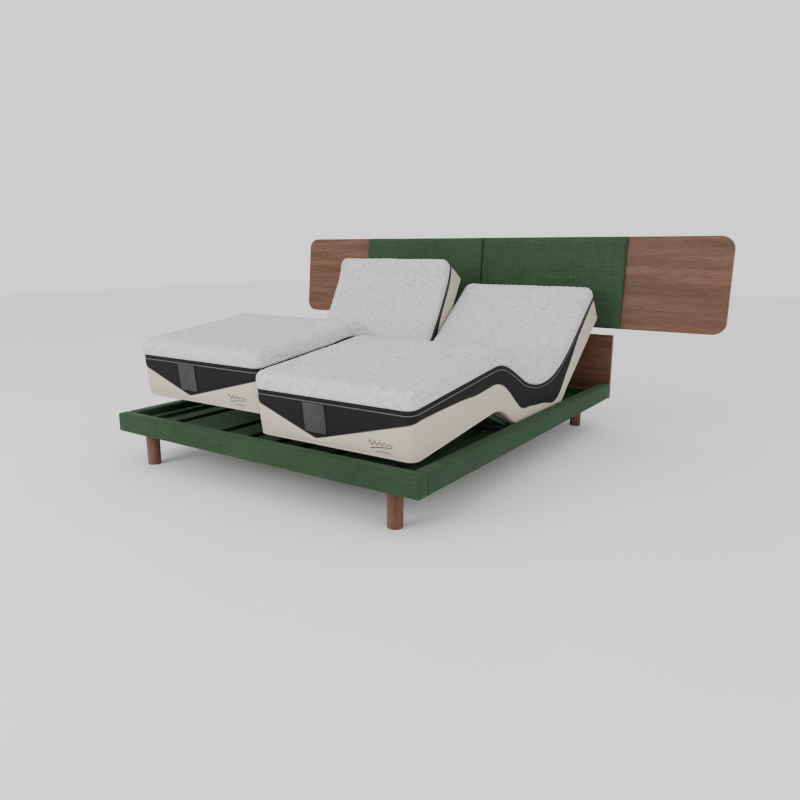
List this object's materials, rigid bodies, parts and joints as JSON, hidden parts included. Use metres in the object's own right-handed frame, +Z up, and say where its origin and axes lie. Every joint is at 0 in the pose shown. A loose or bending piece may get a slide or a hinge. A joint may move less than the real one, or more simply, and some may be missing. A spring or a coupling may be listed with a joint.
{
  "type": "adjustable bed base",
  "caption": "Twin adjustable bed: upholstered platform on turned legs, wide wood headboard, and two mattresses whose back, thigh and calf sections raise by drives.",
  "frame": {"origin": "on the floor under the middle of the whole bed, headboard included", "axes": "+X across the bed, +Y towards the head, +Z up"},
  "size_m": [2.938, 2.185, 1.0977],
  "materials": {
    "green_upholstery": "woven",
    "walnut": "satin",
    "dark_walnut": "satin",
    "mattress_knit": "quilted knit",
    "mattress_border": "woven",
    "mattress_base": "woven",
    "mattress_piping": "woven",
    "deck_fabric": "woven",
    "frame_timber": "matt",
    "frame_steel": "powder coated",
    "drive_housing": "moulded",
    "drive_rod": "polished"
  },
  "bodies": {
    "base": {"base_frame_left": "frame_steel", "base_frame_right": "frame_steel", "centre_beam": "frame_timber", "floor_boards_left": "green_upholstery", "floor_boards_right": "green_upholstery", "floor_edge_left": "green_upholstery", "floor_edge_right": "green_upholstery", "floor_foot": "green_upholstery", "floor_middle": "green_upholstery", "foot_rail": "green_upholstery", "head_panel": "dark_walnut", "head_rail": "frame_timber", "headboard_cushion_left": "green_upholstery", "headboard_cushion_right": "green_upholstery", "headboard_middle": "walnut", "headboard_post_left": "frame_steel", "headboard_post_right": "frame_steel", "headboard_wing_left": "walnut", "headboard_wing_right": "walnut", "leg_front_left": "walnut", "leg_front_right": "walnut", "leg_rear_left": "walnut", "leg_rear_right": "walnut", "mattress_seat_left": "mattress_knit", "mattress_seat_right": "mattress_knit", "seat_panel_left": "deck_fabric", "seat_panel_right": "deck_fabric", "side_rail_left": "green_upholstery", "side_rail_right": "green_upholstery"},
    "back_left": {"back_panel_left": "deck_fabric", "back_rails_left": "frame_steel", "back_lever_left": "frame_steel"},
    "mattress_head_left": {"mattress_head_left": "mattress_knit"},
    "thigh_left": {"thigh_panel_left": "deck_fabric", "thigh_rails_left": "frame_steel", "thigh_lever_left": "frame_steel", "mattress_thigh_left": "mattress_knit"},
    "calf_left": {"calf_panel_left": "deck_fabric", "calf_rails_left": "frame_steel", "mattress_calf_left": "mattress_knit"},
    "head_drive_left": {"head_drive_left": "drive_housing"},
    "head_rod_left": {"head_rod_left": "drive_rod"},
    "foot_drive_left": {"foot_drive_left": "drive_housing"},
    "foot_rod_left": {"foot_rod_left": "drive_rod"},
    "back_right": {"back_panel_right": "deck_fabric", "back_rails_right": "frame_steel", "back_lever_right": "frame_steel"},
    "mattress_head_right": {"mattress_head_right": "mattress_knit"},
    "thigh_right": {"thigh_panel_right": "deck_fabric", "thigh_rails_right": "frame_steel", "thigh_lever_right": "frame_steel", "mattress_thigh_right": "mattress_knit"},
    "calf_right": {"calf_panel_right": "deck_fabric", "calf_rails_right": "frame_steel", "mattress_calf_right": "mattress_knit"},
    "head_drive_right": {"head_drive_right": "drive_housing"},
    "head_rod_right": {"head_rod_right": "drive_rod"},
    "foot_drive_right": {"foot_drive_right": "drive_housing"},
    "foot_rod_right": {"foot_rod_right": "drive_rod"}
  },
  "joints": [
    {"name": "back_hinge_left", "type": "hinge", "parent": "base", "child": "back_left", "pos_m": [-0.402, 0.3875, 0.186], "axis": [1, 0, 0], "range_deg": [-59, 9]},
    {"name": "mattress_slide_left", "type": "slide", "parent": "back_left", "child": "mattress_head_left", "axis": [0, 0.515, 0.8572], "range_m": [-0.19575, 0.02994]},
    {"name": "thigh_hinge_left", "type": "hinge", "parent": "base", "child": "thigh_left", "pos_m": [-0.402, -0.1165, 0.186], "axis": [-1, 0, 0], "range_deg": [-40, 2]},
    {"name": "knee_hinge_left", "type": "hinge", "parent": "thigh_left", "child": "calf_left", "pos_m": [-0.402, -0.33099, 0.36598], "axis": [1, 0, 0], "range_deg": [-46.31, 2.33]},
    {"name": "head_drive_tilt_left", "type": "hinge", "parent": "base", "child": "head_drive_left", "pos_m": [-0.472, 0.0075, 0.1], "axis": [1, 0, 0], "range_deg": [-4.31, 0.7]},
    {"name": "head_rod_slide_left", "type": "slide", "parent": "head_drive_left", "child": "head_rod_left", "axis": [0, 1, 0.0005], "range_m": [-0.1031, 0.01581]},
    {"name": "foot_drive_tilt_left", "type": "hinge", "parent": "base", "child": "foot_drive_left", "pos_m": [-0.332, 0.2635, 0.1], "axis": [-1, 0, 0], "range_deg": [-1.12, 0.1]},
    {"name": "foot_rod_slide_left", "type": "slide", "parent": "foot_drive_left", "child": "foot_rod_left", "axis": [0, -0.9992, -0.0394], "range_m": [-0.07382, 0.00379]},
    {"name": "back_hinge_right", "type": "hinge", "parent": "base", "child": "back_right", "pos_m": [0.402, 0.3875, 0.186], "axis": [1, 0, 0], "range_deg": [-37.7, 30.3]},
    {"name": "mattress_slide_right", "type": "slide", "parent": "back_right", "child": "mattress_head_right", "axis": [0, 0.7912, 0.6115], "range_m": [-0.14815, 0.11909]},
    {"name": "thigh_hinge_right", "type": "hinge", "parent": "base", "child": "thigh_right", "pos_m": [0.402, -0.1165, 0.186], "axis": [-1, 0, 0], "range_deg": [-23.2, 18.8]},
    {"name": "knee_hinge_right", "type": "hinge", "parent": "thigh_right", "child": "calf_right", "pos_m": [0.402, -0.37386, 0.2963], "axis": [1, 0, 0], "range_deg": [-29.71, 24.08]},
    {"name": "head_drive_tilt_right", "type": "hinge", "parent": "base", "child": "head_drive_right", "pos_m": [0.472, 0.0075, 0.1], "axis": [1, 0, 0], "range_deg": [-2.09, 1.69]},
    {"name": "head_rod_slide_right", "type": "slide", "parent": "head_drive_right", "child": "head_rod_right", "axis": [0, 0.9991, -0.0429], "range_m": [-0.06709, 0.05394]},
    {"name": "foot_drive_tilt_right", "type": "hinge", "parent": "base", "child": "foot_drive_right", "pos_m": [0.332, 0.2635, 0.1], "axis": [-1, 0, 0], "range_deg": [-0.14307, 0.12542]},
    {"name": "foot_rod_slide_right", "type": "slide", "parent": "foot_drive_right", "child": "foot_rod_right", "axis": [0, -0.9984, -0.0565], "range_m": [-0.04313, 0.03497]}
  ],
  "couplings": [
    {"joint": "mattress_slide_left", "follows": "back_hinge_left", "m_per_rad": 0.19},
    {"joint": "knee_hinge_left", "follows": "thigh_hinge_left", "ratio": 1.1575},
    {"joint": "head_drive_tilt_left", "follows": "back_hinge_left", "ratio": 0.072127},
    {"joint": "head_rod_slide_left", "follows": "back_hinge_left", "m_per_rad": 0.10002},
    {"joint": "foot_drive_tilt_left", "follows": "thigh_hinge_left", "ratio": 0.026859},
    {"joint": "foot_rod_slide_left", "follows": "thigh_hinge_left", "m_per_rad": 0.10559},
    {"joint": "mattress_slide_right", "follows": "back_hinge_right", "m_per_rad": 0.225},
    {"joint": "knee_hinge_right", "follows": "thigh_hinge_right", "ratio": 1.2802},
    {"joint": "head_drive_tilt_right", "follows": "back_hinge_right", "ratio": 0.054177},
    {"joint": "head_rod_slide_right", "follows": "back_hinge_right", "m_per_rad": 0.10182},
    {"joint": "foot_drive_tilt_right", "follows": "thigh_hinge_right", "ratio": 0.004012},
    {"joint": "foot_rod_slide_right", "follows": "thigh_hinge_right", "m_per_rad": 0.10628}
  ]
}
